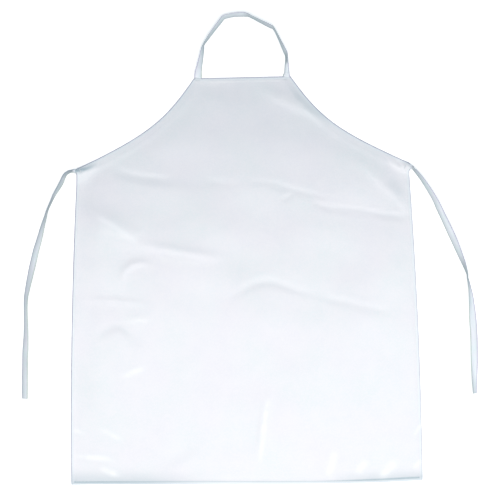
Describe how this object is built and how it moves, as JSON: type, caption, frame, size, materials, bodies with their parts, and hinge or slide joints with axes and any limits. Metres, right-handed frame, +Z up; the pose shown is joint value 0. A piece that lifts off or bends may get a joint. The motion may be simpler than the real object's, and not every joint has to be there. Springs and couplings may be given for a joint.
{
  "type": "butcher apron",
  "caption": "Full-length white bib apron of coated cloth with hemmed edges, a neck loop and a pair of long waist ties, laid flat.",
  "frame": {"origin": "on the surface that the apron lies on, under the middle of the apron and its neck loop (the ties left out)", "axes": "+Z up out of the front face, +Y from the bottom hem towards the neck, +X to the right as seen from above the front face"},
  "size_m": [1.1702, 1.2018, 0.019],
  "materials": {
    "cloth": "gloss",
    "tape": "satin",
    "thread": "matte"
  },
  "bodies": {
    "apron": {"body_panel": "cloth", "bottom_hem": "cloth", "bib_hem": "cloth", "side_hem_left": "cloth", "side_hem_right": "cloth", "armhole_tape_left": "tape", "armhole_tape_right": "tape", "bottom_seam": "thread", "bib_seam": "thread", "side_seam_left": "thread", "side_seam_right": "thread", "armhole_outer_seam_left": "thread", "armhole_outer_seam_right": "thread", "armhole_inner_seam_left": "thread", "armhole_inner_seam_right": "thread", "neck_tack_left": "thread", "neck_tack_right": "thread", "tie_tack_left": "thread", "tie_tack_right": "thread"},
    "neck_loop": {"neck_strap": "tape"},
    "left_tie": {"waist_tie_left": "tape"},
    "right_tie": {"waist_tie_right": "tape"}
  },
  "joints": [
    {"name": "neck_loop_fold", "type": "hinge", "parent": "apron", "child": "neck_loop", "pos_m": [0, 0.434, 0.0015], "axis": [1, 0, 0], "range_deg": [0, 150]},
    {"name": "left_tie_swing", "type": "hinge", "parent": "apron", "child": "left_tie", "pos_m": [-0.431, 0.2025, 0.0005], "axis": [0, 0, 1], "range_deg": [-100, 10]},
    {"name": "right_tie_swing", "type": "hinge", "parent": "apron", "child": "right_tie", "pos_m": [0.431, 0.2, 0.0005], "axis": [0, 0, 1], "range_deg": [-10, 100]}
  ]
}
